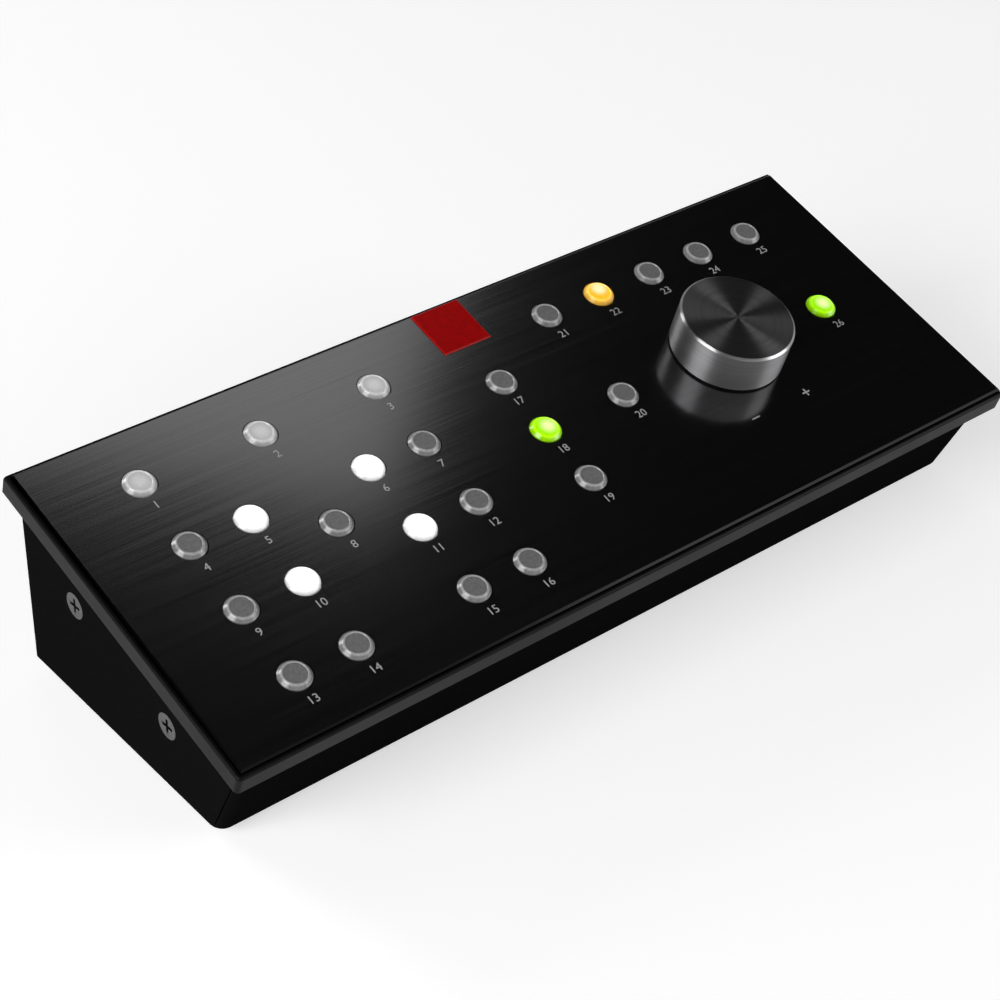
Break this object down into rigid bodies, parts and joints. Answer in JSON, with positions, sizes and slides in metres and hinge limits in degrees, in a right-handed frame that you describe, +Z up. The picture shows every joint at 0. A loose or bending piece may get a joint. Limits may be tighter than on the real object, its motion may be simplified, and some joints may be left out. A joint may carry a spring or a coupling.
{
  "type": "studio monitor controller",
  "caption": "Wedge-shaped desktop monitor controller with a brushed black faceplate, round lit push buttons and a wide endless volume knob.",
  "frame": {"origin": "middle of the footprint, on the surface that the feet stand on", "axes": "+X to the right along the width, +Y towards the back, +Z up; the faceplate rises towards the back"},
  "size_m": [0.29, 0.1094, 0.0716],
  "materials": {
    "faceplate_black": "brushed black anodised, glossy",
    "badge_red": "glossy red enamel",
    "lid_black": "satin black powder coat",
    "pan_black": "matt black powder coat",
    "zinc_steel": "zinc plated",
    "screw_black": "black oxide",
    "foot_rubber": "matt black rubber",
    "knob_dark": "dark anodised, spun top, turned side",
    "black_plastic": "matt moulded",
    "brass": "plain turned",
    "board_green": "solder mask",
    "lamp_white": "clear moulded",
    "gold_contact": "gold plated",
    "ribbon_grey": "flexible grey insulation",
    "cap_grey": "translucent grey, unlit",
    "cap_white": "translucent, lit white",
    "cap_green": "translucent, lit green",
    "cap_amber": "translucent, lit amber"
  },
  "bodies": {
    "chassis": {"badge": "badge_red", "base_pan": "pan_black", "board_posts": "zinc_steel", "board_screws": "zinc_steel", "bracket_left": "zinc_steel", "bracket_right": "zinc_steel", "button_lamps": "lamp_white", "control_board": "board_green", "data_socket": "black_plastic", "encoder_body": "black_plastic", "encoder_bush": "brass", "encoder_nut": "zinc_steel", "encoder_washer": "zinc_steel", "faceplate": "faceplate_black", "foot_nuts": "zinc_steel", "foot_screws": "zinc_steel", "lid_pan": "lid_black", "press_nuts": "zinc_steel", "ribbon_cable": "ribbon_grey", "ribbon_headers": "black_plastic", "rubber_feet": "foot_rubber", "side_screws": "screw_black", "socket_board": "board_green", "socket_contacts": "gold_contact", "socket_posts": "zinc_steel", "socket_screws": "zinc_steel", "tact_switches": "black_plastic"},
    "volume_knob": {"knob_shell": "knob_dark", "knob_hub": "black_plastic", "encoder_shaft": "zinc_steel"},
    "button_01": {"button_01": "cap_grey"},
    "button_02": {"button_02": "cap_grey"},
    "button_03": {"button_03": "cap_grey"},
    "button_04": {"button_04": "cap_grey"},
    "button_05": {"button_05": "cap_white"},
    "button_06": {"button_06": "cap_white"},
    "button_07": {"button_07": "cap_grey"},
    "button_08": {"button_08": "cap_grey"},
    "button_09": {"button_09": "cap_grey"},
    "button_10": {"button_10": "cap_white"},
    "button_11": {"button_11": "cap_white"},
    "button_12": {"button_12": "cap_grey"},
    "button_13": {"button_13": "cap_grey"},
    "button_14": {"button_14": "cap_grey"},
    "button_15": {"button_15": "cap_grey"},
    "button_16": {"button_16": "cap_grey"},
    "button_17": {"button_17": "cap_grey"},
    "button_18": {"button_18": "cap_green"},
    "button_19": {"button_19": "cap_grey"},
    "button_20": {"button_20": "cap_grey"},
    "button_21": {"button_21": "cap_grey"},
    "button_22": {"button_22": "cap_amber"},
    "button_23": {"button_23": "cap_grey"},
    "button_24": {"button_24": "cap_grey"},
    "button_25": {"button_25": "cap_grey"},
    "button_26": {"button_26": "cap_green"}
  },
  "joints": [
    {"name": "button_01_press", "type": "slide", "parent": "chassis", "child": "button_01", "axis": [0, 0.2773, -0.9608], "range_m": [0, 0.0007], "stiffness_N_per_m": 2000, "springref_m": -0.0003},
    {"name": "button_02_press", "type": "slide", "parent": "chassis", "child": "button_02", "axis": [0, 0.2773, -0.9608], "range_m": [0, 0.0007], "stiffness_N_per_m": 2000, "springref_m": -0.0003},
    {"name": "button_03_press", "type": "slide", "parent": "chassis", "child": "button_03", "axis": [0, 0.2773, -0.9608], "range_m": [0, 0.0007], "stiffness_N_per_m": 2000, "springref_m": -0.0003},
    {"name": "button_04_press", "type": "slide", "parent": "chassis", "child": "button_04", "axis": [0, 0.2773, -0.9608], "range_m": [0, 0.0007], "stiffness_N_per_m": 2000, "springref_m": -0.0003},
    {"name": "button_05_press", "type": "slide", "parent": "chassis", "child": "button_05", "axis": [0, 0.2773, -0.9608], "range_m": [0, 0.0007], "stiffness_N_per_m": 2000, "springref_m": -0.0003},
    {"name": "button_06_press", "type": "slide", "parent": "chassis", "child": "button_06", "axis": [0, 0.2773, -0.9608], "range_m": [0, 0.0007], "stiffness_N_per_m": 2000, "springref_m": -0.0003},
    {"name": "button_07_press", "type": "slide", "parent": "chassis", "child": "button_07", "axis": [0, 0.2773, -0.9608], "range_m": [0, 0.0007], "stiffness_N_per_m": 2000, "springref_m": -0.0003},
    {"name": "button_08_press", "type": "slide", "parent": "chassis", "child": "button_08", "axis": [0, 0.2773, -0.9608], "range_m": [0, 0.0007], "stiffness_N_per_m": 2000, "springref_m": -0.0003},
    {"name": "button_09_press", "type": "slide", "parent": "chassis", "child": "button_09", "axis": [0, 0.2773, -0.9608], "range_m": [0, 0.0007], "stiffness_N_per_m": 2000, "springref_m": -0.0003},
    {"name": "button_10_press", "type": "slide", "parent": "chassis", "child": "button_10", "axis": [0, 0.2773, -0.9608], "range_m": [0, 0.0007], "stiffness_N_per_m": 2000, "springref_m": -0.0003},
    {"name": "button_11_press", "type": "slide", "parent": "chassis", "child": "button_11", "axis": [0, 0.2773, -0.9608], "range_m": [0, 0.0007], "stiffness_N_per_m": 2000, "springref_m": -0.0003},
    {"name": "button_12_press", "type": "slide", "parent": "chassis", "child": "button_12", "axis": [0, 0.2773, -0.9608], "range_m": [0, 0.0007], "stiffness_N_per_m": 2000, "springref_m": -0.0003},
    {"name": "button_13_press", "type": "slide", "parent": "chassis", "child": "button_13", "axis": [0, 0.2773, -0.9608], "range_m": [0, 0.0007], "stiffness_N_per_m": 2000, "springref_m": -0.0003},
    {"name": "button_14_press", "type": "slide", "parent": "chassis", "child": "button_14", "axis": [0, 0.2773, -0.9608], "range_m": [0, 0.0007], "stiffness_N_per_m": 2000, "springref_m": -0.0003},
    {"name": "button_15_press", "type": "slide", "parent": "chassis", "child": "button_15", "axis": [0, 0.2773, -0.9608], "range_m": [0, 0.0007], "stiffness_N_per_m": 2000, "springref_m": -0.0003},
    {"name": "button_16_press", "type": "slide", "parent": "chassis", "child": "button_16", "axis": [0, 0.2773, -0.9608], "range_m": [0, 0.0007], "stiffness_N_per_m": 2000, "springref_m": -0.0003},
    {"name": "button_17_press", "type": "slide", "parent": "chassis", "child": "button_17", "axis": [0, 0.2773, -0.9608], "range_m": [0, 0.0007], "stiffness_N_per_m": 2000, "springref_m": -0.0003},
    {"name": "button_18_press", "type": "slide", "parent": "chassis", "child": "button_18", "axis": [0, 0.2773, -0.9608], "range_m": [0, 0.0007], "stiffness_N_per_m": 2000, "springref_m": -0.0003},
    {"name": "button_19_press", "type": "slide", "parent": "chassis", "child": "button_19", "axis": [0, 0.2773, -0.9608], "range_m": [0, 0.0007], "stiffness_N_per_m": 2000, "springref_m": -0.0003},
    {"name": "button_20_press", "type": "slide", "parent": "chassis", "child": "button_20", "axis": [0, 0.2773, -0.9608], "range_m": [0, 0.0007], "stiffness_N_per_m": 2000, "springref_m": -0.0003},
    {"name": "button_21_press", "type": "slide", "parent": "chassis", "child": "button_21", "axis": [0, 0.2773, -0.9608], "range_m": [0, 0.0007], "stiffness_N_per_m": 2000, "springref_m": -0.0003},
    {"name": "button_22_press", "type": "slide", "parent": "chassis", "child": "button_22", "axis": [0, 0.2773, -0.9608], "range_m": [0, 0.0007], "stiffness_N_per_m": 2000, "springref_m": -0.0003},
    {"name": "button_23_press", "type": "slide", "parent": "chassis", "child": "button_23", "axis": [0, 0.2773, -0.9608], "range_m": [0, 0.0007], "stiffness_N_per_m": 2000, "springref_m": -0.0003},
    {"name": "button_24_press", "type": "slide", "parent": "chassis", "child": "button_24", "axis": [0, 0.2773, -0.9608], "range_m": [0, 0.0007], "stiffness_N_per_m": 2000, "springref_m": -0.0003},
    {"name": "button_25_press", "type": "slide", "parent": "chassis", "child": "button_25", "axis": [0, 0.2773, -0.9608], "range_m": [0, 0.0007], "stiffness_N_per_m": 2000, "springref_m": -0.0003},
    {"name": "button_26_press", "type": "slide", "parent": "chassis", "child": "button_26", "axis": [0, 0.2773, -0.9608], "range_m": [0, 0.0007], "stiffness_N_per_m": 2000, "springref_m": -0.0003},
    {"name": "knob_turn", "type": "hinge", "parent": "chassis", "child": "volume_knob", "pos_m": [0.0727, -0.00195, 0.05407], "axis": [0, -0.2773, 0.9608], "continuous": true}
  ]
}
